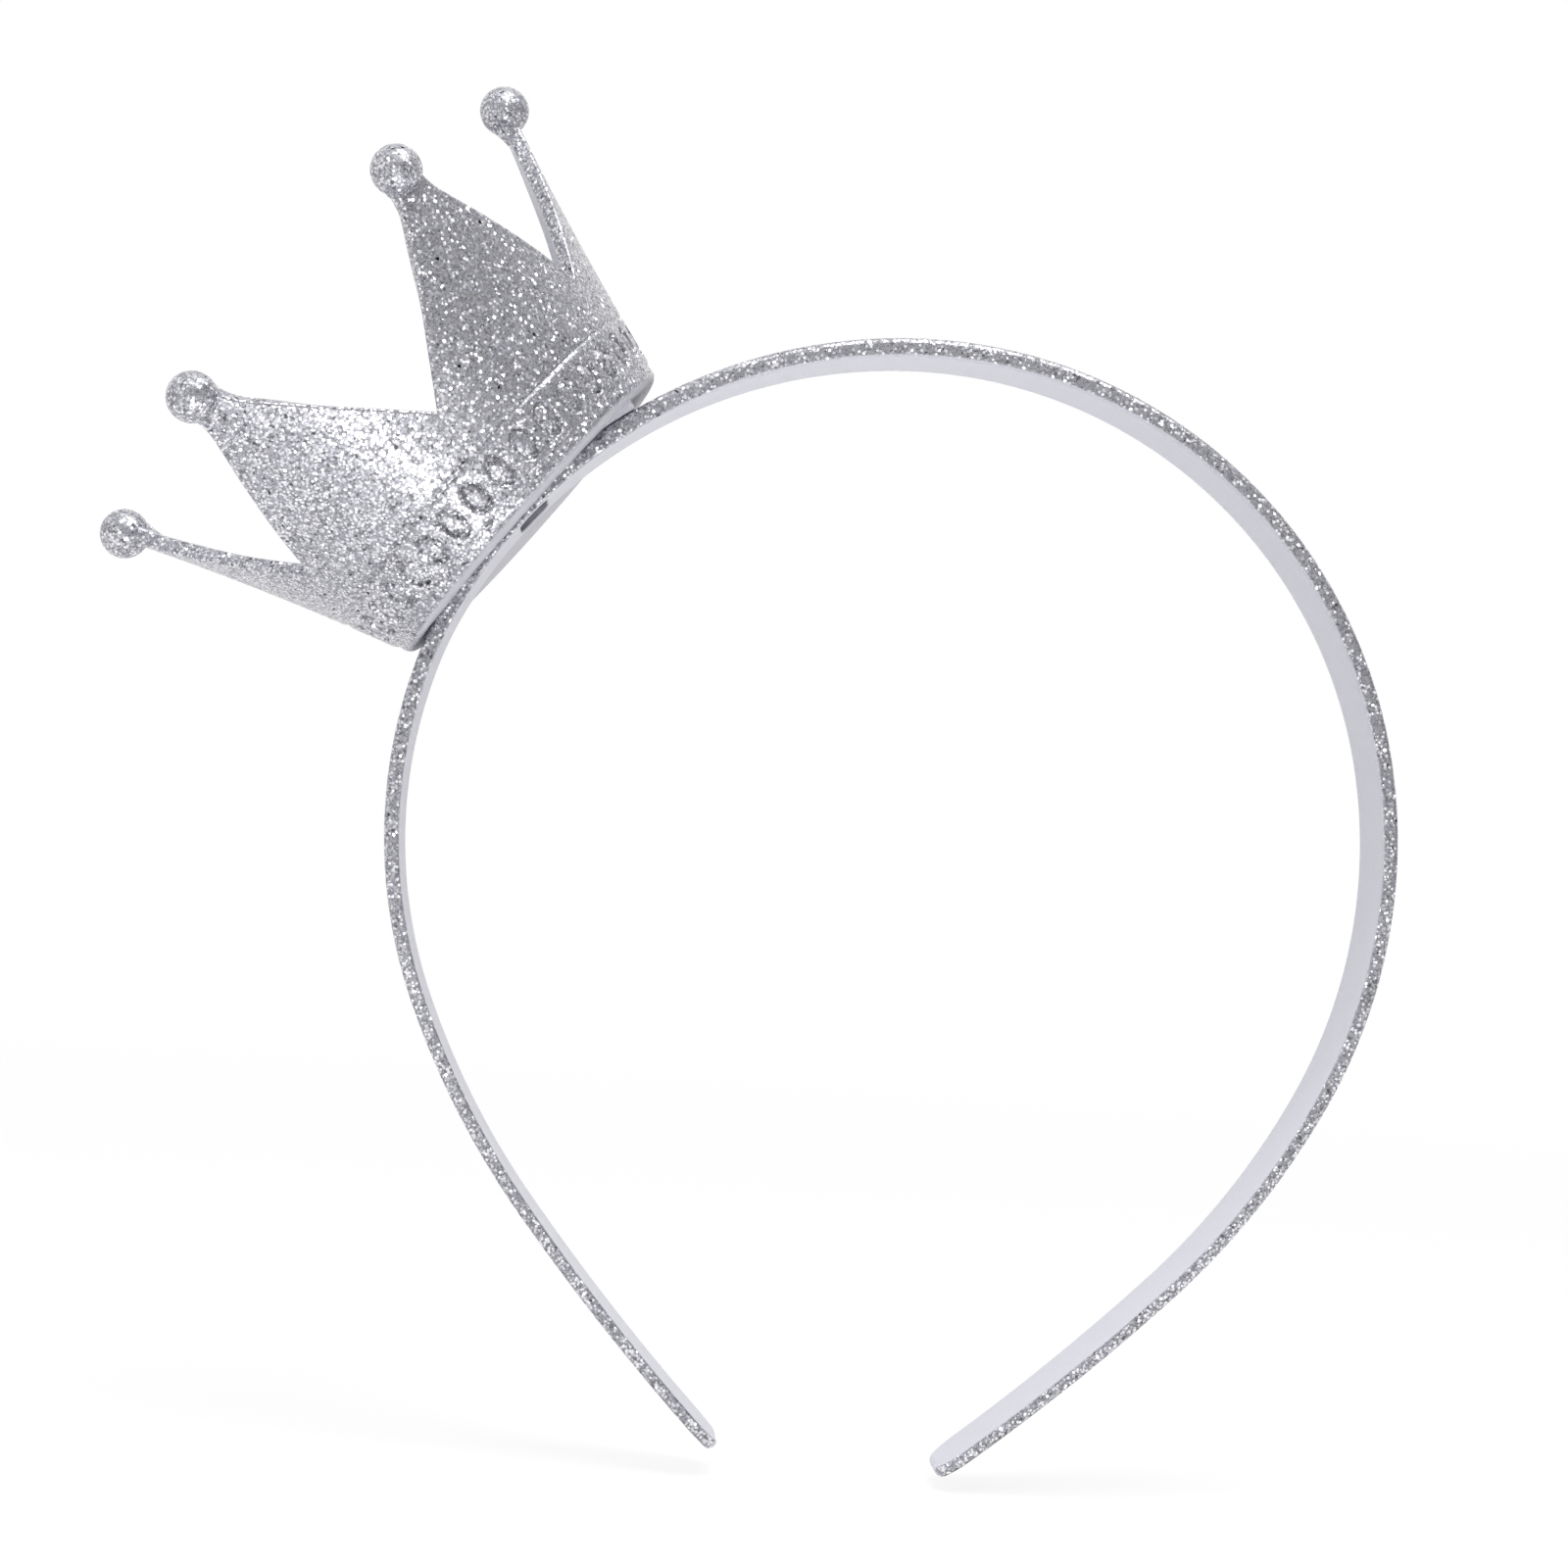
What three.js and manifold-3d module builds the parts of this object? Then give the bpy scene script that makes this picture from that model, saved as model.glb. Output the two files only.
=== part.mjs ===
import * as THREE from 'three';
import { mergeVertices } from 'three/addons/utils/BufferGeometryUtils.js';
import Module from 'manifold-3d';

const wasm = await Module();
wasm.setup();

// Headband section, in millimetres
const bandWidth = 14.1;
const bandThickness = 2.52;
const bandOuterCorner = 0.85;
const bandInnerCorner = 0.4;

// Headband outer face, as arcs that follow each other from the top of the head
const bandTopHeight = 64.9;
const rightTopRadius = 63.3;
const rightTopSweep = 77.4;
const rightSideRadius = 68.2;
const rightSideSweep = 38.6;
const rightTurnRadius = 99.1;
const rightTurnSweep = 18.6;
const rightLegRadius = 309.5;
const rightLegSweep = 6.9;
const leftTopRadius = 67.4;
const leftTopSweep = 64.4;
const leftBendRadius = 46.9;
const leftBendSweep = 8;
const leftSideRadius = 64.4;
const leftSideSweep = 40.5;
const leftTurnRadius = 107.6;
const leftTurnSweep = 16;
const leftLegRadius = 323.7;
const leftLegSweep = 6.96;

// Headband tips
const tipWidth = 13;
const tipTaperLength = 30;
const tipRoundLength = 4.8;
const tipEndWidth = 4.6;
const tipThickness = 1.59;
const tipEndThickness = 0.6;

// Crown seat on the headband
const seatDistance = 59.3;
const seatDepth = 2.25;
const crownLean = 2.19;
const channelClearance = 0.35;

// Crown plinth and floor
const plinthRadius = 23.9;
const plinthHeight = 1.5;
const plinthEdgeRadius = 1.3;
const neckRadius = 23.7;
const neckHeight = 0.35;
const floorThickness = 2.2;
const recessRadius = 21.4;
const recessDepth = 0.6;
const saddleHeight = 5.2;
const saddleWall = 1.6;

// Crown wall, which flares a little more the higher it goes
const wallBaseRadius = 23.85;
const wallSlope = 0.3;
const wallFlare = 0.0016;
const wallThickness = 2.18;
const wallStart = 2.35;
const wallTop = 36.4;

// Groove above the row of ovals, and the ovals
const grooveHeight = 8.5;
const grooveWidth = 0.9;
const grooveDepth = 0.25;
const ovalCount = 36;
const ovalHeight = 4.95;
const ovalLength = 4.1;
const ovalWidth = 2.7;
const ovalRise = 0.5;

// Crown points
const pointCount = 6;
const notchHeight = 14.96;
const pointNeckWidth = 4.5;
const pointNeckDrop = 3.4;
const ballRadius = 3.15;
const ballHeight = 37.47;
const ballInset = 0.83;
const rearDrop = 4.5;
const filletLength = 5.4;
const filletTopRadius = 2.25;
const filletEndRadius = 0.95;

// Tenon under the crown, mortise in the band and the adhesive round the tenon
const tenonLength = 4.5;
const tenonWidth = 11;
const tenonClearance = 0.3;
const tenonRecess = 1.2;
const adhesiveLength = 14;
const adhesiveWidth = 13.2;
const adhesiveThickness = 0.5;
const adhesiveGap = 0.3;

// Smoothness of the curved surfaces
const bandStep = 3.9;
const wallSegments = 72;
const ballSegments = 14;
const ballRings = 10;

const silverGlitter = { color: 0xb4b4bd, roughness: 0.42, metalness: 0.35 };
const clearAdhesive = { color: 0xd9d8d2, roughness: 0.25, metalness: 0 };

const rad = THREE.MathUtils.degToRad;

// A closed geometry as a solid that can be cut or joined
function solid(geometry) {
  const bare = geometry.clone();
  bare.deleteAttribute('normal');
  bare.deleteAttribute('uv');
  const merged = mergeVertices(bare, 1e-4);
  const mesh = new wasm.Mesh({
    numProp: 3,
    vertProperties: new Float32Array(merged.attributes.position.array),
    triVerts: new Uint32Array(merged.index.array),
  });
  return new wasm.Manifold(mesh);
}

// A solid as a three.js geometry
function geometryOf(body) {
  const mesh = body.getMesh();
  const geometry = new THREE.BufferGeometry();
  geometry.setAttribute('position', new THREE.BufferAttribute(mesh.vertProperties, 3));
  geometry.setIndex(new THREE.BufferAttribute(mesh.triVerts, 1));
  geometry.computeVertexNormals();
  return geometry;
}

const rightArcs = [
  [rightTopRadius, rightTopSweep],
  [rightSideRadius, rightSideSweep],
  [rightTurnRadius, rightTurnSweep],
  [rightLegRadius, rightLegSweep],
];
const leftArcs = [
  [leftTopRadius, leftTopSweep],
  [leftBendRadius, leftBendSweep],
  [leftSideRadius, leftSideSweep],
  [leftTurnRadius, leftTurnSweep],
  [leftLegRadius, leftLegSweep],
];

function arcsLength(arcs) {
  return arcs.reduce((sum, [radius, sweep]) => sum + radius * rad(sweep), 0);
}

const rightLength = arcsLength(rightArcs);
const leftLength = arcsLength(leftArcs);

// Point and turning angle on the band's outer face, at a signed distance from its top
function bandPoint(distance) {
  const side = distance < 0 ? -1 : 1;
  let left = Math.abs(distance);
  let x = 0;
  let z = bandTopHeight;
  let turn = 0;
  for (const [radius, sweep] of side > 0 ? rightArcs : leftArcs) {
    const angle = Math.min(left / radius, rad(sweep));
    x += radius * (Math.sin(turn + angle) - Math.sin(turn));
    z += radius * (Math.cos(turn + angle) - Math.cos(turn));
    turn += angle;
    left = Math.max(0, left - radius * rad(sweep));
    if (left === 0) break;
  }
  return { x: side * x, z, turn: side * turn };
}

// Moves a straight shape onto the band: x runs along it, y across it, z out from its outer face
function bendOntoBand(geometry) {
  const position = geometry.attributes.position;
  for (let i = 0; i < position.count; i += 1) {
    const at = bandPoint(position.getX(i));
    const out = position.getZ(i);
    position.setXYZ(i, at.x + out * Math.sin(at.turn), position.getY(i), at.z + out * Math.cos(at.turn));
  }
  return geometry;
}

// A straight slab that will be bent onto the band, between two distances along it
function bandSlab(from, to, width, low, high) {
  const steps = Math.max(2, Math.ceil((to - from) / bandStep));
  const slab = new THREE.BoxGeometry(to - from, width, high - low, steps, 1, 1);
  slab.translate((from + to) / 2, 0, (low + high) / 2);
  return bendOntoBand(slab);
}

// Where the sections of the band stand, closer together at the rounded tips
function bandStations() {
  const tipSteps = [0, 0.02, 0.07, 0.16, 0.32, 0.6, 1];
  const start = -leftLength;
  const end = rightLength;
  const inner = end - start - 2 * tipRoundLength;
  const count = Math.ceil(inner / bandStep);
  const stations = tipSteps.map((share) => start + share * tipRoundLength);
  for (let i = 1; i < count; i += 1) {
    stations.push(start + tipRoundLength + (inner * i) / count);
  }
  tipSteps.reverse();
  return stations.concat(tipSteps.map((share) => end - share * tipRoundLength));
}

// Width of the band at a distance from its nearer tip
function widthAt(fromTip) {
  const taper = THREE.MathUtils.smoothstep(fromTip, 0, tipTaperLength);
  const straight = tipWidth + (bandWidth - tipWidth) * taper;
  const lack = 1 - Math.min(fromTip / tipRoundLength, 1);
  return straight - (tipWidth - tipEndWidth) * (1 - Math.sqrt(1 - lack * lack));
}

// Thickness of the band, which falls from its top to both tips and rounds off at their ends
function thicknessAt(fromTip, length) {
  const taper = THREE.MathUtils.smoothstep(fromTip, 0, length);
  const straight = tipThickness + (bandThickness - tipThickness) * taper;
  const lack = 1 - Math.min(fromTip / (tipThickness / 2), 1);
  return straight - (tipThickness - tipEndThickness) * (1 - Math.sqrt(1 - lack * lack));
}

// Rounded rectangle with larger corners on the outer face
function bandSection() {
  const half = bandWidth / 2;
  const outer = bandOuterCorner;
  const inner = bandInnerCorner;
  const shape = new THREE.Shape();
  shape.moveTo(-half + inner, -bandThickness);
  shape.lineTo(half - inner, -bandThickness);
  shape.absarc(half - inner, -bandThickness + inner, inner, -Math.PI / 2, 0);
  shape.lineTo(half, -outer);
  shape.absarc(half - outer, -outer, outer, 0, Math.PI / 2);
  shape.lineTo(-half + outer, 0);
  shape.absarc(-half + outer, -outer, outer, Math.PI / 2, Math.PI);
  shape.lineTo(-half, -bandThickness + inner);
  shape.absarc(-half + inner, -bandThickness + inner, inner, Math.PI, 1.5 * Math.PI);
  return shape;
}

// Oblong outline of the tenon, grown by a clearance
function tenonShape(grow) {
  const x = tenonLength / 2 + grow;
  const y = tenonWidth / 2 + grow;
  const shape = new THREE.Shape();
  shape.moveTo(-x, -y + x);
  shape.absarc(0, -y + x, x, Math.PI, 2 * Math.PI);
  shape.lineTo(x, y - x);
  shape.absarc(0, y - x, x, 0, Math.PI);
  return shape;
}

// Prism of the tenon outline, in the crown's own frame
function tenonPrism(grow, low, high) {
  const prism = new THREE.ExtrudeGeometry(tenonShape(grow), {
    depth: high - low,
    bevelEnabled: false,
    curveSegments: 10,
  });
  prism.translate(0, 0, low);
  return prism;
}

// Crown frame: z along its axis, x along the band, y away from the front
const seat = bandPoint(-seatDistance);
const crownTurn = seat.turn - rad(crownLean);
const crownPlace = new THREE.Vector3(
  seat.x - seatDepth * Math.sin(seat.turn),
  0,
  seat.z - seatDepth * Math.cos(seat.turn),
);
const crownMatrix = new THREE.Matrix4().makeRotationY(crownTurn).setPosition(crownPlace);
const toCrown = crownMatrix.clone().invert();

// One moulded band, swept along its arcs, with the mortise for the crown's tenon
function headbandGeometry() {
  const stations = bandStations();
  const steps = stations.length - 1;
  const sweep = new THREE.ExtrudeGeometry(bandSection(), {
    depth: steps,
    steps,
    bevelEnabled: false,
    curveSegments: 3,
  });
  const position = sweep.attributes.position;
  for (let i = 0; i < position.count; i += 1) {
    const along = stations[Math.round(position.getZ(i))];
    const length = along < 0 ? leftLength : rightLength;
    const fromTip = length - Math.abs(along);
    const across = (position.getX(i) * widthAt(fromTip)) / bandWidth;
    const thick = thicknessAt(fromTip, length);
    const rounding = (thicknessAt(Math.max(fromTip, tipThickness / 2), length) - thick) / 2;
    const depth = (position.getY(i) * thick) / bandThickness;
    position.setXYZ(i, along, across, depth - rounding);
  }
  bendOntoBand(sweep);
  const mortise = tenonPrism(tenonClearance, seatDepth - 2 * bandThickness, seatDepth + bandThickness);
  mortise.applyMatrix4(crownMatrix);
  return geometryOf(solid(sweep).subtract(solid(mortise)));
}

function wallRadius(height) {
  return wallBaseRadius + wallSlope * height + wallFlare * height * height;
}

// Outer profile of the plinth and wall, from the underside to the top
function outerProfile(inset) {
  const points = [];
  const edgeSteps = 4;
  const edgeX = plinthRadius - plinthEdgeRadius;
  points.push([0, recessDepth]);
  points.push([recessRadius, recessDepth]);
  points.push([recessRadius + recessDepth / 2, 0]);
  for (let i = 0; i <= edgeSteps; i += 1) {
    const angle = (Math.PI / 2) * (i / edgeSteps);
    points.push([edgeX + plinthEdgeRadius * Math.sin(angle), plinthEdgeRadius * (1 - Math.cos(angle))]);
  }
  points.push([plinthRadius, plinthHeight]);
  points.push([neckRadius, plinthHeight + neckHeight]);
  points.push([wallRadius(wallStart), wallStart + neckHeight]);
  points.push([wallRadius(grooveHeight - grooveWidth / 2), grooveHeight - grooveWidth / 2]);
  points.push([wallRadius(grooveHeight) - grooveDepth, grooveHeight]);
  const flareSteps = 5;
  const flareStart = grooveHeight + grooveWidth / 2;
  for (let i = 0; i <= flareSteps; i += 1) {
    const height = flareStart + ((wallTop - flareStart) * i) / flareSteps;
    points.push([wallRadius(height), height]);
  }
  return points.map(([radius, height]) => new THREE.Vector2(Math.max(radius - inset, 0), height));
}

// Cup of floor and wall
function cupGeometry() {
  const inside = [];
  const innerSteps = 5;
  for (let i = 0; i <= innerSteps; i += 1) {
    const height = wallTop + ((floorThickness - wallTop) * i) / innerSteps;
    inside.push(new THREE.Vector2(wallRadius(height) - wallThickness, height));
  }
  const profile = [...outerProfile(0), ...inside, new THREE.Vector2(0, floorThickness)];
  return standUp(new THREE.LatheGeometry(profile, wallSegments));
}

// Space inside the crown's outer surface, drawn in by an inset
function filledSolid(inset) {
  const profile = [...outerProfile(inset), new THREE.Vector2(0, wallTop)];
  return solid(standUp(new THREE.LatheGeometry(profile, wallSegments)));
}

// Turns a shape made about the y axis so that it stands about the z axis
function standUp(geometry) {
  return geometry.rotateX(Math.PI / 2);
}

// Saddle across the floor that houses the band's channel
function saddleSolid() {
  const width = bandWidth + 2 * (channelClearance + saddleWall);
  const block = new THREE.BoxGeometry(3 * plinthRadius, width, saddleHeight - floorThickness / 2);
  block.translate(0, 0, (saddleHeight + floorThickness / 2) / 2);
  return solid(block).intersect(filledSolid(wallThickness / 2));
}

// Slope of a notch edge that leaves the neck width under a ball
function notchSlope(topHeight) {
  const neckAt = topHeight - pointNeckDrop;
  const spread = Math.PI / pointCount;
  const reach = wallRadius(neckAt) * Math.sin(spread) - (pointNeckWidth / 2) * Math.cos(spread);
  return reach / (neckAt - notchHeight);
}

const pointStep = 360 / pointCount;

// The two points furthest from the front stand lower
function pointTop(index) {
  const facing = Math.cos(rad(pointStep * (index + 0.5)));
  return facing < -0.5 ? ballHeight - rearDrop : ballHeight;
}

// V-shaped cutter between the point before and the point after a notch
function notchCutter(index) {
  const over = ballHeight + 4 * ballRadius;
  const rise = over - notchHeight;
  const after = notchSlope(pointTop(index)) * rise;
  const before = notchSlope(pointTop((index + pointCount - 1) % pointCount)) * rise;
  const shape = new THREE.Shape();
  shape.moveTo(0, notchHeight);
  shape.lineTo(after, over);
  shape.lineTo(-before, over);
  const cutter = new THREE.ExtrudeGeometry(shape, { depth: 2 * plinthRadius, bevelEnabled: false });
  return standUp(cutter).rotateZ(rad(pointStep * index));
}

// Ball with the fillet that runs down into its point, flush with the wall's outer surface
function ballSolid(index, envelope) {
  const top = pointTop(index);
  const turn = rad(pointStep * (index + 0.5));
  const flare = Math.atan(wallSlope + 2 * wallFlare * top);
  const ball = new THREE.SphereGeometry(ballRadius, ballSegments, ballRings);
  const steps = 4;
  const profile = [new THREE.Vector2(0, 0)];
  const start = Math.sqrt(ballRadius ** 2 - filletTopRadius ** 2);
  for (let i = 0; i <= steps; i += 1) {
    const share = i / steps;
    const drop = filletTopRadius - filletEndRadius;
    profile.push(new THREE.Vector2(filletEndRadius + drop * (1 - share) ** 2, -start - filletLength * share));
  }
  profile.push(new THREE.Vector2(0, -start - filletLength));
  const fillet = new THREE.LatheGeometry(profile.reverse(), ballSegments);
  const pose = new THREE.Matrix4()
    .makeRotationZ(turn)
    .multiply(new THREE.Matrix4().makeTranslation(0, ballInset - wallRadius(top), top))
    .multiply(new THREE.Matrix4().makeRotationX(flare + Math.PI / 2));
  const blend = solid(fillet.applyMatrix4(pose)).intersect(envelope);
  return solid(ball.applyMatrix4(pose)).add(blend);
}

// Oval cabochon in the row round the foot of the wall
function ovalGeometry(index) {
  const oval = new THREE.SphereGeometry(1, 8, 6);
  const radius = wallRadius(ovalHeight);
  oval.scale(ovalWidth / 2, ovalRise, ovalLength / 2);
  oval.rotateX(Math.atan(wallSlope));
  oval.translate(0, -radius, ovalHeight);
  return oval.rotateZ((2 * Math.PI * index) / ovalCount);
}

// Channel for the band, with a deeper well where the adhesive lies
function channelSolid() {
  const reach = 1.5 * plinthRadius;
  const width = bandWidth + 2 * channelClearance;
  const depth = -3 * bandThickness;
  const channel = bandSlab(-seatDistance - reach, -seatDistance + reach, width, depth, channelClearance);
  const half = adhesiveLength / 2 + adhesiveGap;
  const wellTop = adhesiveThickness + 2 * adhesiveGap;
  const wellWidth = adhesiveWidth + 2 * adhesiveGap;
  const well = bandSlab(-seatDistance - half, -seatDistance + half, wellWidth, -bandThickness, wellTop);
  return solid(channel.applyMatrix4(toCrown)).add(solid(well.applyMatrix4(toCrown)));
}

// One moulded crown: cup, saddle, points with balls, ovals, channel and tenon
function crownGeometry() {
  let body = solid(cupGeometry()).add(saddleSolid());
  for (let i = 0; i < pointCount; i += 1) {
    body = body.subtract(solid(notchCutter(i)));
  }
  const envelope = filledSolid(0);
  for (let i = 0; i < pointCount; i += 1) {
    body = body.add(ballSolid(i, envelope));
  }
  for (let i = 0; i < ovalCount; i += 1) {
    body = body.add(solid(ovalGeometry(i)));
  }
  body = body.subtract(channelSolid());
  const tenonEnd = seatDepth - bandThickness + tenonRecess;
  return geometryOf(body.add(solid(tenonPrism(0, tenonEnd, saddleHeight - saddleWall / 2))));
}

// Thin bed of adhesive between band and crown, round the tenon
function adhesiveGeometry() {
  const half = adhesiveLength / 2;
  const top = adhesiveGap + adhesiveThickness;
  const bed = bandSlab(-seatDistance - half, -seatDistance + half, adhesiveWidth, adhesiveGap, top);
  const hole = tenonPrism(tenonClearance, 0, saddleHeight).applyMatrix4(crownMatrix);
  return geometryOf(solid(bed).subtract(solid(hole)));
}

function mesh(name, geometry, finish) {
  const piece = new THREE.Mesh(geometry, new THREE.MeshStandardMaterial(finish));
  piece.name = name;
  return piece;
}

const group = new THREE.Group();
group.add(mesh('headband', headbandGeometry(), silverGlitter));
group.add(mesh('adhesive_bed', adhesiveGeometry(), clearAdhesive));

const crownSeat = new THREE.Group();
crownSeat.position.copy(crownPlace);
crownSeat.rotation.y = crownTurn;
crownSeat.add(mesh('crown', crownGeometry(), silverGlitter));
group.add(crownSeat);

export default group;
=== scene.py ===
import math

import bmesh
import bpy
from mathutils import Matrix, Vector


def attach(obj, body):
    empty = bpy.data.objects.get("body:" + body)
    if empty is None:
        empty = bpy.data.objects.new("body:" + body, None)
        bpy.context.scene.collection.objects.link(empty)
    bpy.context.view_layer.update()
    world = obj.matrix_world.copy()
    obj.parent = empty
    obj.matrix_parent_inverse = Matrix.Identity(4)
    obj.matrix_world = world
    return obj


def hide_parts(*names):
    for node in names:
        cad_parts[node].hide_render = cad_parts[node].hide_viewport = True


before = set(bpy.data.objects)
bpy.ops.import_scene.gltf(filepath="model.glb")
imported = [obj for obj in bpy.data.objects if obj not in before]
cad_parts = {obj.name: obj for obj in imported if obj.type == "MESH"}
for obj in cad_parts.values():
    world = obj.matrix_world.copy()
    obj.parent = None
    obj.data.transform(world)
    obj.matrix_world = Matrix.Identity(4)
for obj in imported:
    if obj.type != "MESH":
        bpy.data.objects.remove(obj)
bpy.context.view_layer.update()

mm = 0.001


# The camera stands under half a metre in front of the band, level with the
# middle of the head space, and is turned a little to its left and rolled.
camera_place = Vector((-39.45, -454.48, -1.44)) * mm
camera_lens = 81
camera_sensor = 36
camera_yaw = 0.0523
camera_pitch = 0.0184
camera_roll = 0.0712
forward = Vector(
    (
        math.sin(camera_yaw) * math.cos(camera_pitch),
        math.cos(camera_yaw) * math.cos(camera_pitch),
        math.sin(camera_pitch),
    )
)
level = Vector((math.cos(camera_yaw), -math.sin(camera_yaw), 0))
upright = level.cross(forward)
camera_right = level * math.cos(camera_roll) + upright * math.sin(camera_roll)
camera_up = upright * math.cos(camera_roll) - level * math.sin(camera_roll)
camera = bpy.data.objects.new("camera", bpy.data.cameras.new("camera"))
camera.data.lens = camera_lens
camera.data.sensor_width = camera_sensor
camera.data.clip_start = 0.01
camera.matrix_world = (
    Matrix.Translation(camera_place)
    @ Matrix((camera_right, camera_up, -forward)).transposed().to_4x4()
)
bpy.context.collection.objects.link(camera)
bpy.context.scene.camera = camera
bpy.context.scene.view_settings.view_transform = "Standard"


# The headband is one moulded plastic band, bent round the head and thinner
# towards its rounded tips. Its outside and edges carry a coat of silver glitter
# in clear lacquer, and its inside is bare pale grey plastic.
class Socket:
    """A node's output that takes part in arithmetic and adds the nodes for it."""

    def __init__(self, nodes, link):
        self.nodes = nodes
        self.link = link

    def maths(self, operation, *others):
        return self.nodes.add("ShaderNodeMath", {"operation": operation}, self, *others)

    def __add__(self, other):
        return self.maths("ADD", other)

    def __mul__(self, other):
        return self.maths("MULTIPLY", other)

    def __sub__(self, other):
        return self.maths("SUBTRACT", other)

    def __pow__(self, other):
        return self.maths("POWER", other)

    def __rsub__(self, other):
        return self.nodes.add("ShaderNodeMath", {"operation": "SUBTRACT"}, other, self)

    def clipped(self):
        return self.nodes.add("ShaderNodeClamp", {}, self)


class Finish:
    """The nodes of a material or of the world, and the one way in which they are added."""

    def __init__(self, owner):
        owner.use_nodes = True
        self.owner = owner
        self.tree = owner.node_tree
        self.shader = self.tree.nodes.get("Principled BSDF")

    def add(self, kind, settings, *inputs, out=0, **named):
        node = self.tree.nodes.new(kind)
        for key, value in settings.items():
            setattr(node, key, value)
        sockets = list(enumerate(inputs)) + list(named.items())
        for key, value in sockets:
            self.feed(node.inputs[key.replace("_", " ") if isinstance(key, str) else key], value)
        return Socket(self, node.outputs[out])

    def feed(self, socket, value):
        if isinstance(value, Socket):
            self.tree.links.new(value.link, socket)
        elif value is not None:
            socket.default_value = value

    def colour(self, mask, low, high):
        settings = {"data_type": "RGBA"}
        skipped = [None] * 5
        return self.add("ShaderNodeMix", settings, mask, *skipped, low, high, out=2)

    def vector(self, operation, *inputs):
        return self.add("ShaderNodeVectorMath", {"operation": operation}, *inputs)


lacquer_pale = (0.34, 0.34, 0.372, 1)
# This dark colour serves both the lacquer's fine grain and the painted shade.
grain_and_shade_dark = (0.07, 0.07, 0.085, 1)
bare_grey = (0.54, 0.54, 0.585, 1)
flake_pale = (0.92, 0.92, 0.94, 1)
flake_dull = (0.3, 0.3, 0.33, 1)
flake_size = 0.38
grain_size = 0.15
flake_lean = 3.3
lean_falloff = 3.7
empty_share = 0.15
flake_reach = 0.52
lacquer_metal = 0.5
flake_metal = 0.35
lacquer_rough = 0.42
flake_smooth = 0.22
clear_coat = 0.5
clear_coat_rough = 0.3
# How many flakes the painted shade leaves out.
painted_shade_flake_loss = 0.25


def glitter_finish(name):
    """Flat metal flakes, each leaning its own way, in lacquer over grey plastic; where a vertex
    marks painted shade, the colour is darker and has fewer flakes.
    """
    finish = Finish(bpy.data.materials.new(name))
    place = finish.add("ShaderNodeTexCoord", {}, out="Object")
    facing = finish.add("ShaderNodeNewGeometry", {}, out="Normal")
    coat = finish.add("ShaderNodeAttribute", {"attribute_name": "coat"}, out="Fac")
    # This attribute marks painted shade, set in the hollows, the mortise and under the crown.
    painted_shade = finish.add("ShaderNodeAttribute", {"attribute_name": "painted_shade"}, out="Fac")
    cell = {"Vector": place, "Scale": 1 / (flake_size * mm)}
    small_cell = {"Vector": place, "Scale": 1 / (grain_size * mm)}
    chance = finish.add("ShaderNodeTexVoronoi", {}, **cell, out="Color")
    reach = finish.add("ShaderNodeTexVoronoi", {}, **cell, out="Distance")
    grain = finish.add("ShaderNodeTexVoronoi", {}, **small_cell, out="Color")
    luck = finish.add("ShaderNodeTexWhiteNoise", {}, chance, out="Color")
    pick = finish.add("ShaderNodeSeparateColor", {}, luck, out=0)
    shine = finish.add("ShaderNodeSeparateColor", {}, luck, out=1)
    loose = finish.add("ShaderNodeSeparateColor", {}, luck, out=2)
    speck = finish.add("ShaderNodeSeparateColor", {}, grain, out=0)
    filled = (pick - painted_shade * painted_shade_flake_loss).maths("GREATER_THAN", empty_share)
    flake = coat * filled * reach.maths("LESS_THAN", flake_reach)
    centred = finish.vector("SUBTRACT", chance, (0.5, 0.5, 0.5))
    amount = loose ** lean_falloff * flake_lean * coat
    lean = finish.add("ShaderNodeVectorMath", {"operation": "SCALE"}, centred, Scale=amount)
    # Fine grain, plus painted shade where the attribute marks it, darkens the lacquer and the bare
    # plastic.
    grain_and_painted_shade = (speck ** 2 * 0.9 + painted_shade * 0.25).clipped()
    lacquer = finish.colour(grain_and_painted_shade, lacquer_pale, grain_and_shade_dark)
    bare = finish.colour(speck * 0.12 + painted_shade * 0.8, bare_grey, grain_and_shade_dark)
    ground = finish.colour(coat, bare, lacquer)
    metal = finish.colour((shine * 0.4 + loose * 0.7).clipped(), flake_dull, flake_pale)
    finish.feed(finish.shader.inputs["Base Color"], finish.colour(flake, ground, metal))
    finish.feed(finish.shader.inputs["Metallic"], coat * lacquer_metal + flake * flake_metal)
    finish.feed(finish.shader.inputs["Roughness"], lacquer_rough - flake * flake_smooth)
    finish.feed(finish.shader.inputs["Coat Weight"], coat * clear_coat)
    finish.shader.inputs["Coat Roughness"].default_value = clear_coat_rough
    leaning = finish.vector("NORMALIZE", finish.vector("ADD", facing, lean))
    finish.feed(finish.shader.inputs["Normal"], leaning)
    return finish.owner


glitter_coat = glitter_finish("silver_glitter_coat")

band_top = 64.9
right_arcs = [(63.3, 77.4), (68.2, 38.6), (99.1, 18.6), (309.5, 6.9)]
left_arcs = [(67.4, 64.4), (46.9, 8), (64.4, 40.5), (107.6, 16), (323.7, 6.96)]
right_length = sum(radius * math.radians(sweep) for radius, sweep in right_arcs)
left_length = sum(radius * math.radians(sweep) for radius, sweep in left_arcs)
band_width = 14.1
band_thick = 2.52
tip_width = 13
tip_taper = 30
tip_round = 4.8
tip_end_width = 4.6
tip_thick = 1.59
outer_corner = 0.85
inner_corner = 0.4


def smooth_step(value, low, high):
    share = min(max((value - low) / (high - low), 0), 1)
    return share * share * (3 - 2 * share)


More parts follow.
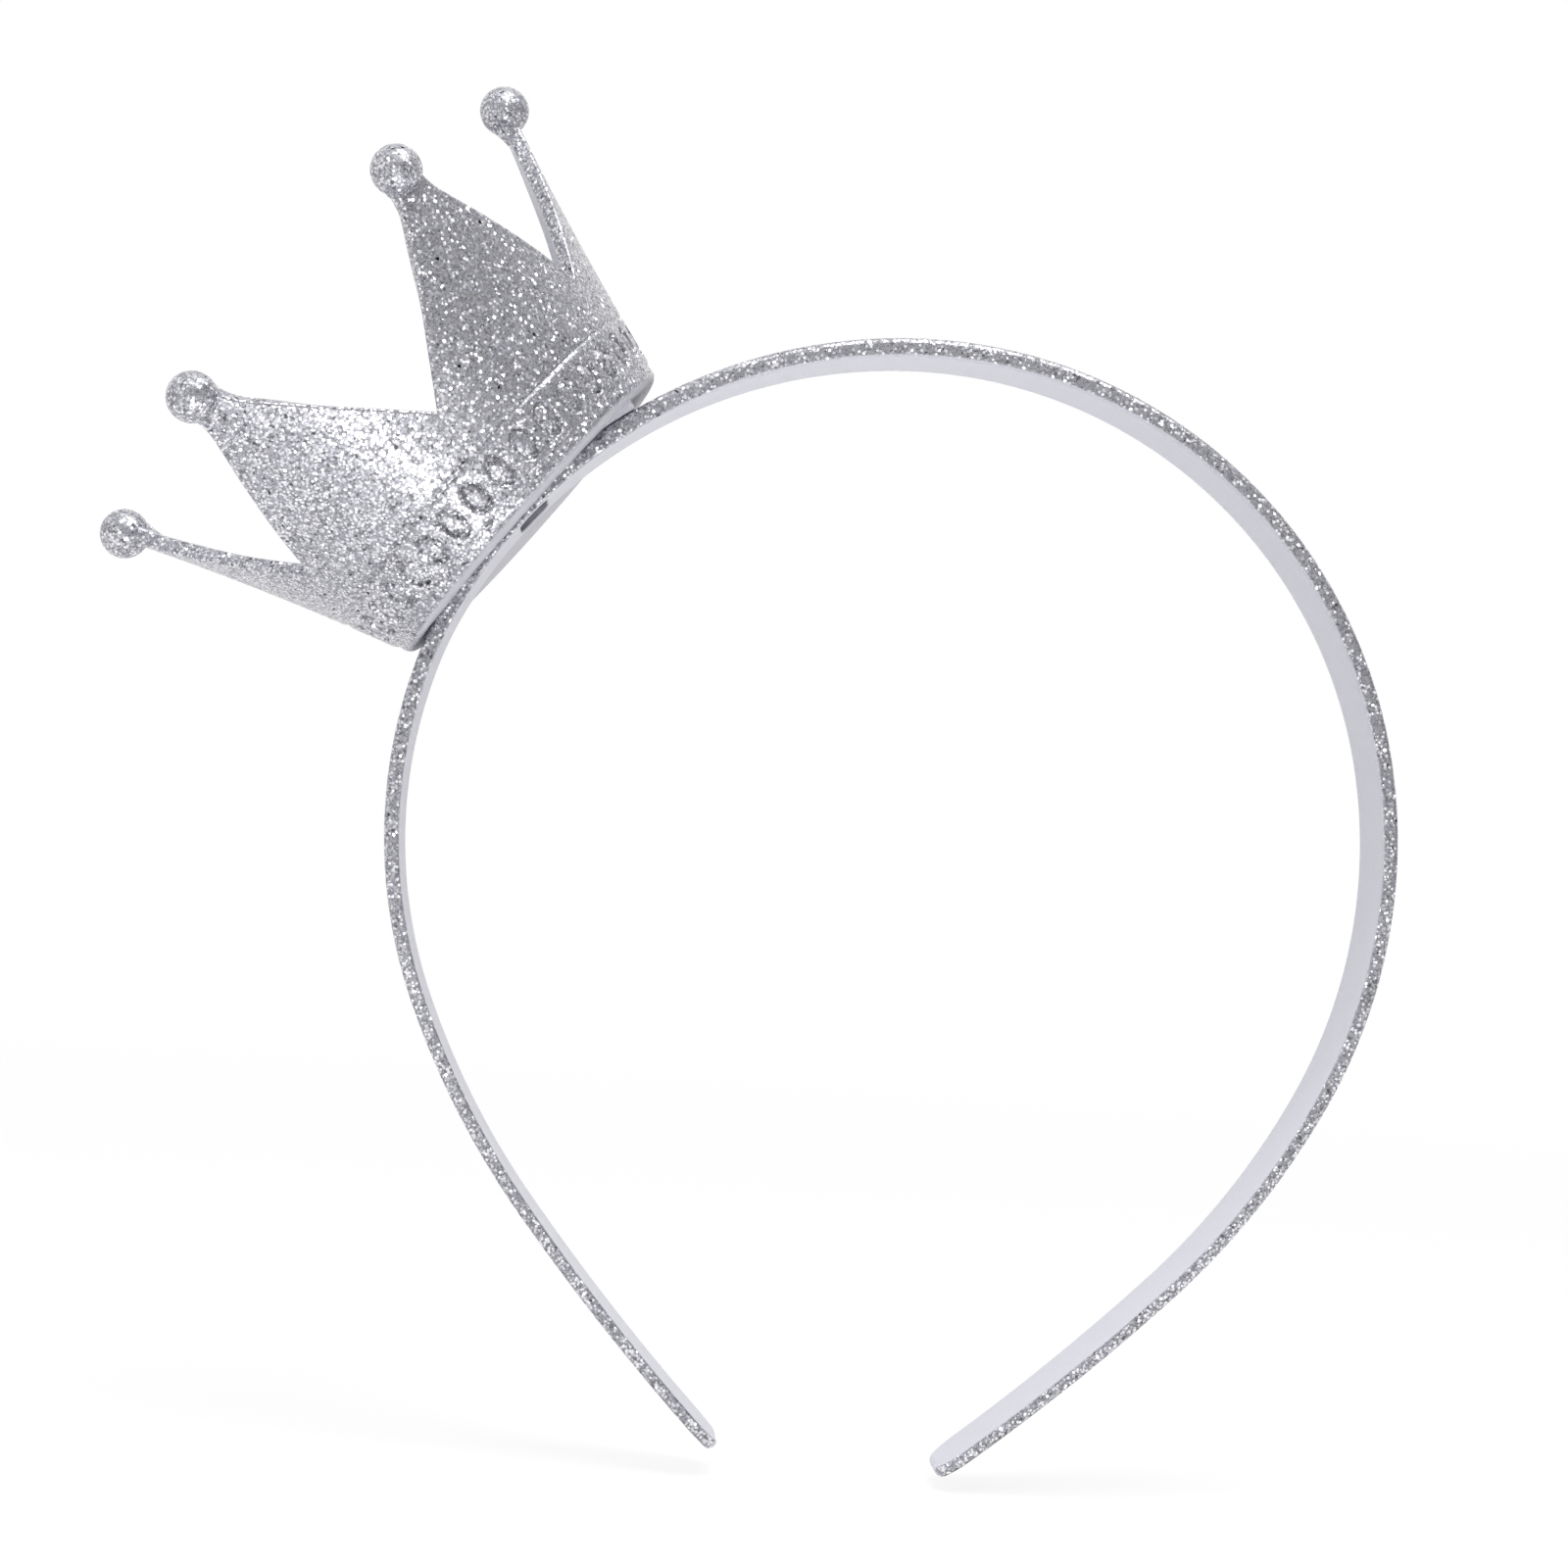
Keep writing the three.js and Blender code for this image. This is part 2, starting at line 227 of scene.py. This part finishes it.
def band_point(distance):
    """Place and turn of the band's outer face at a distance from its top, left below 0."""
    side = -1 if distance < 0 else 1
    rest = abs(distance)
    x = 0
    z = band_top
    turn = 0
    for radius, sweep in right_arcs if side > 0 else left_arcs:
        angle = min(rest / radius, math.radians(sweep))
        x += radius * (math.sin(turn + angle) - math.sin(turn))
        z += radius * (math.cos(turn + angle) - math.cos(turn))
        turn += angle
        rest = max(0, rest - radius * math.radians(sweep))
    return side * x, z, side * turn


def on_band(distance, across, out):
    """A point that lies across and out from the band's outer face."""
    x, z, turn = band_point(distance)
    return Vector((x + out * math.sin(turn), across, z + out * math.cos(turn)))


def band_sizes(distance):
    """Width and thickness of the band, without the rounding of its tips."""
    length = left_length if distance < 0 else right_length
    from_tip = length - abs(distance)
    width = tip_width + (band_width - tip_width) * smooth_step(from_tip, 0, tip_taper)
    thick = tip_thick + (band_thick - tip_thick) * smooth_step(from_tip, 0, length)
    return from_tip, width, thick


def wide_part(mesh, low, high, axis):
    """Edges of a mesh whose two ends lie between two values on an axis and that run along x."""
    return [
        edge
        for edge in mesh.edges
        if all(low < vertex.co[axis] < high for vertex in edge.verts)
        and abs(edge.verts[0].co.x - edge.verts[1].co.x) > 1
    ]


def slice_at(mesh, axis, value):
    """Adds a loop of edges where a plane across an axis meets the mesh."""
    place = [0, 0, 0]
    place[axis] = value
    facing = [0, 0, 0]
    facing[axis] = 1
    everything = mesh.verts[:] + mesh.edges[:] + mesh.faces[:]
    bmesh.ops.bisect_plane(mesh, geom=everything, plane_co=place, plane_no=facing)


def round_edges(mesh, edges, size, segments):
    bmesh.ops.bevel(
        mesh, geom=edges, offset=size, segments=segments, profile=0.5, affect="EDGES", material=-1
    )


def place_piece(mesh, name, material, sharp=35):
    """An object at the origin, in metres, made from a mesh in millimetres."""
    bmesh.ops.scale(mesh, vec=(mm, mm, mm), verts=mesh.verts)
    data = bpy.data.meshes.new(name)
    mesh.to_mesh(data)
    mesh.free()
    for face in data.polygons:
        face.use_smooth = True
    data.set_sharp_from_angle(angle=math.radians(sharp))
    data.materials.append(material)
    piece = bpy.data.objects.new(name, data)
    bpy.context.collection.objects.link(piece)
    return piece


def cut_away(stock_mesh, tool_mesh):
    """The stock without the space of the tool, as a new mesh. Both are in millimetres."""
    blocks = []
    for mesh in (stock_mesh, tool_mesh):
        data = bpy.data.meshes.new("block")
        mesh.to_mesh(data)
        mesh.free()
        block = bpy.data.objects.new("block", data)
        bpy.context.collection.objects.link(block)
        blocks.append(block)
    cut = blocks[0].modifiers.new("cut", "BOOLEAN")
    cut.operation = "DIFFERENCE"
    cut.solver = "EXACT"
    cut.object = blocks[1]
    evaluated = blocks[0].evaluated_get(bpy.context.evaluated_depsgraph_get())
    result = bmesh.new()
    result.from_mesh(evaluated.to_mesh())
    for block in blocks:
        bpy.data.objects.remove(block)
    return result


station_cuts = 320
corner_margin = 0.2
tip_shares = [0.02, 0.08, 0.17, 0.3, 0.45, 0.62, 0.8, 1]
seat_distance = -59.3
mortise_along = 5.0
mortise_across = 11.6
mortise_corner = 1.9
mortise_flare = 0.22
# How dark the painted shade is inside the band's mortise.
mortise_shade = 0.85
slot_half_along = 2.6
slot_half_across = 6
slot_floor = -0.45
coat_low = -0.42
coat_spread = 0.07

bar = bmesh.new()
bmesh.ops.create_cube(bar, size=1)
bmesh.ops.scale(bar, vec=(left_length + right_length, band_width, band_thick), verts=bar.verts)
bar_middle = ((right_length - left_length) / 2, 0, -band_thick / 2)
bmesh.ops.translate(bar, vec=bar_middle, verts=bar.verts)
round_edges(bar, wide_part(bar, -0.01, 0.01, 2), outer_corner, 6)
round_edges(bar, wide_part(bar, -band_thick - 0.01, -band_thick + 0.01, 2), inner_corner, 4)
long_edges = wide_part(bar, -band_width, band_width, 1)
bmesh.ops.subdivide_edges(bar, edges=long_edges, cuts=station_cuts, use_grid_fill=True)
for share in tip_shares:
    slice_at(bar, 0, tip_round * share - left_length)
    slice_at(bar, 0, right_length - tip_round * share)
for side in (-1, 1):
    slice_at(bar, 1, side * (band_width / 2 - outer_corner - corner_margin))
slice_at(bar, 2, -outer_corner - corner_margin)
slice_at(bar, 2, -band_thick + inner_corner + corner_margin)

slot_tool = bmesh.new()
bmesh.ops.create_grid(slot_tool, x_segments=1, y_segments=1, size=0.5)
bmesh.ops.scale(slot_tool, vec=(mortise_along, mortise_across, 1), verts=slot_tool.verts)
bmesh.ops.bevel(
    slot_tool,
    geom=slot_tool.verts[:],
    offset=mortise_corner,
    segments=6,
    profile=0.5,
    affect="VERTICES",
    material=-1,
)
bmesh.ops.translate(slot_tool, vec=(seat_distance, 0, 1), verts=slot_tool.verts)
slot_face = slot_tool.faces[:]
flare = mortise_flare + 0.05
for depth, grow in ((1 + band_thick - mortise_flare, 0), (flare, flare), (0.5, 0)):
    last_face = slot_face
    grown = bmesh.ops.extrude_face_region(slot_tool, geom=last_face)["geom"]
    slot_face = [item for item in grown if isinstance(item, bmesh.types.BMFace)]
    if grow or depth < 1:
        bmesh.ops.delete(slot_tool, geom=last_face, context="FACES_ONLY")
    corners = [item for item in grown if isinstance(item, bmesh.types.BMVert)]
    wider = (1 + 2 * grow / mortise_along, 1 + 2 * grow / mortise_across, 1)
    bmesh.ops.translate(slot_tool, vec=(0, 0, -depth), verts=corners)
    slot_frame = Matrix.Translation((-seat_distance, 0, 0))
    bmesh.ops.scale(slot_tool, vec=wider, verts=corners, space=slot_frame)
bmesh.ops.recalc_face_normals(slot_tool, faces=slot_tool.faces)
bar = cut_away(bar, slot_tool)

coat_layer = bar.verts.layers.float.new("coat")
painted_shade_layer = bar.verts.layers.float.new("painted_shade")
for vertex in bar.verts:
    station, across, out = vertex.co
    from_tip, width, thick = band_sizes(station)
    lack = 1 - min(from_tip / tip_round, 1)
    width -= (tip_width - tip_end_width) * (1 - math.sqrt(1 - lack * lack))
    end_lack = 1 - min(from_tip / (tip_thick / 2), 1)
    swell = math.sqrt(max(1 - end_lack * end_lack, 0.0001))
    level = out / band_thick + 0.5
    from_seat = abs(station - seat_distance)
    in_slot = from_seat < slot_half_along and abs(across) < slot_half_across
    # Inside the mortise the band is bare and gets painted shade, as dark as mortise_shade.
    vertex[painted_shade_layer] = mortise_shade if in_slot and level > slot_floor else 0
    off_seat = smooth_step(from_seat, 14, 34)
    spread = max(smooth_step(abs(station), 60, 120), 1 - off_seat)
    low_limit = coat_low - coat_spread * spread
    lit = smooth_step(level, low_limit, low_limit + 0.12 - 0.06 * spread)
    vertex[coat_layer] = 0 if in_slot else lit
    vertex.co = on_band(station, across * width / band_width, (level * swell - 0.5) * thick)
bmesh.ops.remove_doubles(bar, verts=bar.verts, dist=0.0005)
headband = place_piece(bar, "headband_moulding", glitter_coat)
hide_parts("headband")
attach(headband, "root")


# The crown is one moulded plastic cup with a flared wall cut into six points,
# under the same glitter coat outside and bare inside. A row of raised ovals
# runs round the foot of the wall, under a fine groove.
crown_matrix = Matrix.Translation((-50.2, 0, 39.02)) @ Matrix.Rotation(math.radians(-52.6), 4, "Y")
points = 6
half_span = math.radians(180 / points)
wall_foot = 23.85
wall_flare = 0.3
wall_curve = 0.0016
wall_start = 2.35
wall_thick = 2.18
notch_height = 14.96
ball_height = 37.47
neck_half = 2.25
neck_narrow = 2.15
neck_drop = 3.4
rear_drop = 4.5
cut_corner = 0.45
groove_height = 8.5
groove_depth = 0.24
groove_half = 0.3
oval_pitch = 10
oval_height = 4.95
oval_half_width = 1.35
oval_half_length = 2.05
oval_sink = 0.8
oval_roundness = 0.9
oval_floor = 0.68
oval_limit = 7.6
foot_height = 9.2
panel_columns = 92
panel_heights = [wall_start + 0.19 * i for i in range(30)]
panel_heights += [8.1, 8.25, 8.38, 8.5, 8.62, 8.75, 8.9, foot_height]
apex_row = len(panel_heights) + 7
panel_heights += [
    foot_height + (notch_height - foot_height) * (i + 1) / 8 for i in range(8)
]
upper_rows = 34
panel_rows = len(panel_heights) - 1 + upper_rows


def wall_radius(height):
    return wall_foot + wall_flare * height + wall_curve * height * height


def polar(radius, azimuth, height):
    return Vector((radius * math.sin(azimuth), -radius * math.cos(azimuth), height))


def point_azimuth(index):
    return math.radians(60 * (index + 0.5))


def point_top(index):
    """Height of a point's ball. The two points that the photograph hides are lower."""
    return ball_height - (rear_drop if index in (2, 3) else 0)


def oval_bump(azimuth, height):
    """Depth of the domed ovals, which sit in hollows so that their crests are level with the wall.
    """
    turn = (math.degrees(azimuth) / oval_pitch + 0.5) % 1 - 0.5
    across = math.radians(turn * oval_pitch) * wall_radius(height) / oval_half_width
    along = (height - oval_height) / oval_half_length
    reach = math.hypot(across, along)
    if reach < 1:
        return -oval_sink * (1 - math.sqrt(1 - reach * reach * oval_roundness))
    return -oval_floor * oval_sink * (1 - smooth_step(reach, 1, 1.16))


def groove_dip(height):
    return groove_depth * math.exp(-(((height - groove_height) / groove_half) ** 2))


def point_half(height, depth, slope, top):
    """Half the angle that a point spans at a height, and at a depth in the wall."""
    outside = wall_radius(height)
    radius = outside - depth * wall_thick
    if height <= notch_height:
        return half_span, radius
    across = slope * (height - notch_height)
    outer_cut = half_span - math.asin(min(across / outside, 0.6))
    inner_cut = half_span - math.asin(min(across / radius, 0.6))
    upper = smooth_step(height, top - 15, top - 5)
    cut = inner_cut + (outer_cut * outside / radius - inner_cut) * upper
    neck = neck_half / radius
    return (cut + neck + math.hypot(cut - neck, 0.03)) / 2, radius


cup = bmesh.new()
for index in range(points):
    top = point_top(index)
    neck_height = top - neck_drop
    run = wall_radius(neck_height) / 2 - neck_narrow * math.cos(half_span)
    slope = run / (neck_height - notch_height)
    heights = panel_heights + [
        notch_height + (top - 1 - notch_height) * (i + 1) / upper_rows
        for i in range(upper_rows)
    ]
    panel = bmesh.new()
    bmesh.ops.create_grid(panel, x_segments=panel_columns, y_segments=panel_rows, size=1)
    grown = bmesh.ops.extrude_face_region(panel, geom=panel.faces[:])["geom"]
    inner_corners = [item for item in grown if isinstance(item, bmesh.types.BMVert)]
    bmesh.ops.translate(panel, vec=(0, 0, -1), verts=inner_corners)
    apex = 2 * apex_row / panel_rows - 1 + 0.001
    joins = [
        face
        for face in panel.faces
        if all(abs(vertex.co.x) > 0.999 and vertex.co.y < apex for vertex in face.verts)
    ]
    bmesh.ops.delete(panel, geom=joins, context="FACES_ONLY")
    for vertex in panel.verts:
        column, row, depth = vertex.co
        height = heights[round((row + 1) / 2 * panel_rows)]
        half, radius = point_half(height, -depth, slope, top)
        column = round((column + 1) / 2 * panel_columns)
        margin = (0.27 + 0.5 * smooth_step(height, 9, 13)) / (radius * half)
        share = (1 - margin) * (2 * (column - 1) / (panel_columns - 2) - 1)
        azimuth = half * (-1 if column == 0 else 1 if column == panel_columns else share)
        azimuth += point_azimuth(index)
        if depth > -0.5:
            bump = oval_bump(azimuth, height) if height < oval_limit else 0
            radius += bump - groove_dip(height)
        vertex.co = polar(radius, azimuth, height)
    part = bpy.data.meshes.new("panel")
    panel.to_mesh(part)
    panel.free()
    cup.from_mesh(part)
    bpy.data.meshes.remove(part)
bmesh.ops.remove_doubles(cup, verts=cup.verts, dist=0.002)
bare_edges = [edge for edge in cup.edges if not edge.link_faces]
bmesh.ops.delete(cup, geom=bare_edges, context="EDGES")
bmesh.ops.recalc_face_normals(cup, faces=cup.faces)
rims = [
    edge
    for edge in cup.edges
    if len(edge.link_faces) == 2
    and edge.calc_face_angle() > 0.8
    and all(notch_height - 0.01 < vertex.co.z < ball_height - 1.1 for vertex in edge.verts)
    and edge.verts[0].co.z != edge.verts[1].co.z
]
round_edges(cup, rims, cut_corner, 4)
coat_layer = cup.verts.layers.float.new("coat")
painted_shade_layer = cup.verts.layers.float.new("painted_shade")
for vertex in cup.verts:
    depth = wall_radius(vertex.co.z) - math.hypot(vertex.co.x, vertex.co.y)
    # Painted shade darkens the outside where it lies deeper than the wall, in the hollows round the
    # ovals and in the groove.
    if depth < 1 and vertex.co.z < foot_height:
        vertex[painted_shade_layer] = smooth_step(depth, 0.1, 0.3)
    vertex[coat_layer] = 1 - 0.85 * smooth_step(depth, wall_thick - 0.3, wall_thick)
bmesh.ops.transform(cup, matrix=crown_matrix, verts=cup.verts)
crown_cup = place_piece(cup, "crown_cup", glitter_coat, sharp=50)
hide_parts("crown")
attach(crown_cup, "root")


# Each of the six balls is moulded in one with its point, and the same glitter
# covers it all round.
ball_radius = 3.15
ball_inset = 0.83
neck_top_radius = 2.35
neck_low_radius = 1.0
neck_start = 2.1
neck_length = 5.6
neck_steps = 10

balls = bmesh.new()
for index in range(points):
    top = point_top(index)
    centre = polar(wall_radius(top) - ball_inset, point_azimuth(index), top)
    shift = Matrix.Translation(centre)
    bmesh.ops.create_uvsphere(
        balls, u_segments=64, v_segments=40, radius=ball_radius, matrix=shift
    )
    flare = math.atan(wall_flare + 2 * wall_curve * top)
    stand = shift @ Matrix.Rotation(point_azimuth(index), 4, "Z")
    stand = stand @ Matrix.Rotation(flare, 4, "X")
    rim = [balls.verts.new((0, 0, -neck_start))]
    for i in range(neck_steps + 1):
        share = i / neck_steps
        radius = neck_low_radius + (neck_top_radius - neck_low_radius) * (1 - share) ** 2
        rim.append(balls.verts.new((radius, 0, -neck_start - neck_length * share)))
    rim.append(balls.verts.new((0, 0, -neck_start - neck_length)))
    collar = [balls.edges.new(pair) for pair in zip(rim, rim[1:])]
    bmesh.ops.spin(
        balls,
        geom=rim + collar,
        axis=(0, 0, 1),
        angle=2 * math.pi,
        steps=40,
        use_merge=True,
    )
    shell = {vertex for edge in collar for vertex in edge.verts}
    stack = list(shell)
    while stack:
        for edge in stack.pop().link_edges:
            fresh = [vertex for vertex in edge.verts if vertex not in shell]
            shell.update(fresh)
            stack += fresh
    bmesh.ops.transform(balls, matrix=stand, verts=list(shell))
    for vertex in shell:
        reach = math.hypot(vertex.co.x, vertex.co.y)
        limit = wall_radius(vertex.co.z) - 0.03
        if reach > limit and (vertex.co - centre).length > ball_radius - 0.05:
            vertex.co.x *= limit / reach
            vertex.co.y *= limit / reach
bmesh.ops.remove_doubles(balls, verts=balls.verts, dist=0.0005)
bmesh.ops.recalc_face_normals(balls, faces=balls.faces)
coat_layer = balls.verts.layers.float.new("coat")
for vertex in balls.verts:
    vertex[coat_layer] = 1
bmesh.ops.transform(balls, matrix=crown_matrix, verts=balls.verts)
crown_balls = place_piece(balls, "crown_balls", glitter_coat)
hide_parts("crown")
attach(crown_balls, "root")


# The crown's foot is moulded with it: a rounded plinth, a floor with a shallow
# recess below, and a channel across the floor that the band lies in.
plinth_radius = 24
plinth_round = 1.25
recess_depth = 0.6
floor_top = 2.2
channel_clearance = 0.08

outline = [(0, recess_depth), (6, recess_depth), (10, 0.56), (14, 0.42), (17.5, 0.22)]
outline += [(20.5, 0.07), (22, 0.01)]
for i in range(9):
    angle = math.radians(90 * i / 8)
    sweep = plinth_round * math.sin(angle)
    outline.append((plinth_radius - plinth_round + sweep, plinth_round * (1 - math.cos(angle))))
outline += [(24.04, 1.4), (24.04, 1.65), (24.12, 1.8), (24.26, 1.95), (24.4, 2.15)]
outline += [(24.5, 2.35), (24.5, 2.6)]
outline += [(22.7, 4), (22.5, 3.3), (22.2, 2.6), (21.6, 2.25), (21, floor_top), (0, floor_top)]

foot = bmesh.new()
corners = [foot.verts.new((0, -radius, height)) for radius, height in outline]
sides = [foot.edges.new(pair) for pair in zip(corners, corners[1:])]
bmesh.ops.spin(
    foot,
    geom=corners + sides,
    cent=(0, 0, 0),
    axis=(0, 0, 1),
    angle=2 * math.pi,
    steps=240,
    use_merge=True,
)
bmesh.ops.remove_doubles(foot, verts=foot.verts, dist=0.0005)
bmesh.ops.recalc_face_normals(foot, faces=foot.faces)


def band_slab(half_length, half_width, low, high):
    """A bent slab over the band at the crown, in the crown's own frame."""
    slab = bmesh.new()
    bmesh.ops.create_cube(slab, size=1)
    bmesh.ops.scale(slab, vec=(2 * half_length, 2 * half_width, high - low), verts=slab.verts)
    bmesh.ops.subdivide_edges(slab, edges=wide_part(slab, -20, 20, 1), cuts=40, use_grid_fill=True)
    for vertex in slab.verts:
        station, across, out = vertex.co
        vertex.co = on_band(seat_distance + station, across, out + (low + high) / 2)
    bmesh.ops.transform(slab, matrix=crown_matrix.inverted(), verts=slab.verts)
    bmesh.ops.recalc_face_normals(slab, faces=slab.faces)
    return slab


channel_half = band_width / 2 + channel_clearance
foot = cut_away(foot, band_slab(30, channel_half, -6, channel_clearance))
coat_layer = foot.verts.layers.float.new("coat")
painted_shade_layer = foot.verts.layers.float.new("painted_shade")
for vertex in foot.verts:
    reach = math.hypot(vertex.co.x, vertex.co.y)
    lit = smooth_step(reach, 22.8, 23.4) * smooth_step(vertex.co.z, 0.1, 0.6)
    vertex[coat_layer] = lit * (1 - smooth_step(vertex.co.z, 2.7, 2.9))
    # Painted shade darkens the crown's underside and the lowest part of its plinth.
    vertex[painted_shade_layer] = 0.3 * (1 - smooth_step(vertex.co.z, 0.8, 1.2))
bmesh.ops.transform(foot, matrix=crown_matrix, verts=foot.verts)
crown_foot = place_piece(foot, "crown_foot", glitter_coat)
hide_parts("crown")
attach(crown_foot, "root")


# A saddle inside the cup closes the channel over the band, and a tenon stands
# on its underside, in the band's mortise.
saddle_half_length = 18.5
saddle_wall = 1.6
saddle_top = 2.6
# How dark the painted shade on the tenon is.
tenon_shade = 0.58
tenon_along = 4.5
tenon_across = 11
tenon_recess = 1.1

saddle = band_slab(
    saddle_half_length, channel_half + saddle_wall, channel_clearance, saddle_top
)
tenon = bmesh.new()
bmesh.ops.create_cube(tenon, size=1)
tenon_height = band_thick - tenon_recess + channel_clearance + 1
bmesh.ops.scale(tenon, vec=(tenon_along, tenon_across, tenon_height), verts=tenon.verts)
uprights = [edge for edge in tenon.edges if abs(edge.verts[0].co.z - edge.verts[1].co.z) > 0.5]
round_edges(tenon, uprights, 1.6, 5)
low_edges = [edge for edge in tenon.edges if all(vertex.co.z < 0 for vertex in edge.verts)]
round_edges(tenon, low_edges, 0.2, 2)
lowest = min(vertex.co.z for vertex in tenon.verts)
for vertex in tenon.verts:
    station, across, out = vertex.co
    vertex.co = on_band(seat_distance + station, across, out - lowest - band_thick + tenon_recess)
bmesh.ops.transform(tenon, matrix=crown_matrix.inverted(), verts=tenon.verts)
part = bpy.data.meshes.new("tenon")
tenon.to_mesh(part)
tenon.free()
saddle.from_mesh(part)
bpy.data.meshes.remove(part)
saddle.verts.layers.float.new("coat")
painted_shade_layer = saddle.verts.layers.float.new("painted_shade")
# The tenon, down in the band's mortise, gets painted shade.
for vertex in saddle.verts:
    in_mortise = vertex.co.z < 2 and math.hypot(vertex.co.x, vertex.co.y) < 7
    vertex[painted_shade_layer] = tenon_shade if in_mortise else 0
bmesh.ops.transform(saddle, matrix=crown_matrix, verts=saddle.verts)
crown_saddle = place_piece(saddle, "crown_saddle", glitter_coat)
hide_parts("crown")
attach(crown_saddle, "root")


# The set adhesive between band and crown is a thin clear pad.
adhesive = Finish(bpy.data.materials.new("set_adhesive"))
cloud = adhesive.add(
    "ShaderNodeTexNoise", {}, Vector=adhesive.add("ShaderNodeTexCoord", {}, out="Object"), Scale=400
)
adhesive.feed(
    adhesive.shader.inputs["Base Color"],
    adhesive.colour(cloud, (0.78, 0.77, 0.72, 1), (0.88, 0.87, 0.83, 1)),
)
adhesive.feed(adhesive.shader.inputs["Roughness"], cloud * 0.2 + 0.2)
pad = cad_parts["adhesive_bed"]
pad.data.materials.clear()
pad.data.materials.append(adhesive.owner)


# A pale floor lies just under the tips, and a white backdrop rises far behind.
floor_height = -81.8
floor_half = 4000
floor_finish = Finish(bpy.data.materials.new("pale_floor"))
floor_finish.shader.inputs["Base Color"].default_value = (0.9, 0.9, 0.9, 1)
floor_finish.shader.inputs["Roughness"].default_value = 0.9
floor_finish.shader.inputs["Specular IOR Level"].default_value = 0
spot = floor_finish.add("ShaderNodeTexCoord", {}, out="Object")
away = floor_finish.add("ShaderNodeVectorMath", {"operation": "LENGTH"}, spot, out="Value")
far = ((away - 0.25) * 1.6).clipped()
direct = floor_finish.add("ShaderNodeLightPath", {}, out="Is Camera Ray")
mirrored = floor_finish.add("ShaderNodeLightPath", {}, out="Is Glossy Ray")
through = floor_finish.add("ShaderNodeLightPath", {}, out="Is Transmission Ray")
white = floor_finish.add("ShaderNodeEmission", {}, (1, 1, 1, 1), 1.0)
surface = floor_finish.add(
    "ShaderNodeMixShader",
    {},
    (direct * (far * 0.12 + 0.88) + (mirrored + through) * far).clipped(),
    Socket(floor_finish, floor_finish.shader.outputs[0]),
    white,
)
floor_finish.feed(floor_finish.tree.nodes["Material Output"].inputs["Surface"], surface)
stage_mesh = bmesh.new()
bmesh.ops.create_grid(stage_mesh, x_segments=1, y_segments=1, size=floor_half)
bmesh.ops.translate(stage_mesh, vec=(0, 0, floor_height), verts=stage_mesh.verts)
far_edge = [
    edge for edge in stage_mesh.edges if all(vertex.co.y > 3000 for vertex in edge.verts)
]
raised = bmesh.ops.extrude_edge_only(stage_mesh, edges=far_edge)["geom"]
raised = [item for item in raised if isinstance(item, bmesh.types.BMVert)]
bmesh.ops.translate(stage_mesh, vec=(0, 0, floor_half), verts=raised)
floor = place_piece(stage_mesh, "floor", floor_finish.owner)


# Soft light comes from a round lamp overhead and a low panel in front.
def add_lamp(name, place, aim, size, power, spread):
    lamp = bpy.data.lights.new(name, "AREA")
    lamp.shape = "DISK"
    lamp.size = size
    lamp.energy = power
    lamp.spread = math.radians(spread)
    holder = bpy.data.objects.new(name, lamp)
    holder.location = place
    holder.rotation_euler = (Vector(place) - Vector(aim)).to_track_quat("Z", "Y").to_euler()
    holder.visible_camera = False
    bpy.context.collection.objects.link(holder)


add_lamp("lamp_above", (0.07, -0.21, 0.52), (-0.04, 0, 0.03), 0.44, 3.5, 180)
add_lamp("panel_below", (-0.045, -0.155, -0.079), (-0.085, -0.02, 0.05), 0.09, 0.042, 70)

dim_side = (0.776, -0.621, 0.104)
dim_level = 0.27

world = bpy.data.worlds.new("studio")
bpy.context.scene.world = world
sky = Finish(world)
direction = sky.add("ShaderNodeTexCoord", {}, out="Generated")
toward = sky.add(
    "ShaderNodeVectorMath", {"operation": "DOT_PRODUCT"}, direction, dim_side, out="Value"
)
smooth = {"interpolation_type": "SMOOTHSTEP"}
lit = sky.add("ShaderNodeMapRange", smooth, toward, 0, 0.9, 1, dim_level)
room = sky.add("ShaderNodeBackground", {}, (0.97, 0.97, 1, 1), lit)
white = sky.add("ShaderNodeBackground", {}, (1, 1, 1, 1), 1.0)
direct = sky.add("ShaderNodeLightPath", {}, out="Is Camera Ray")
surface = sky.add("ShaderNodeMixShader", {}, direct, room, white)
sky.feed(sky.tree.nodes["World Output"].inputs["Surface"], surface)
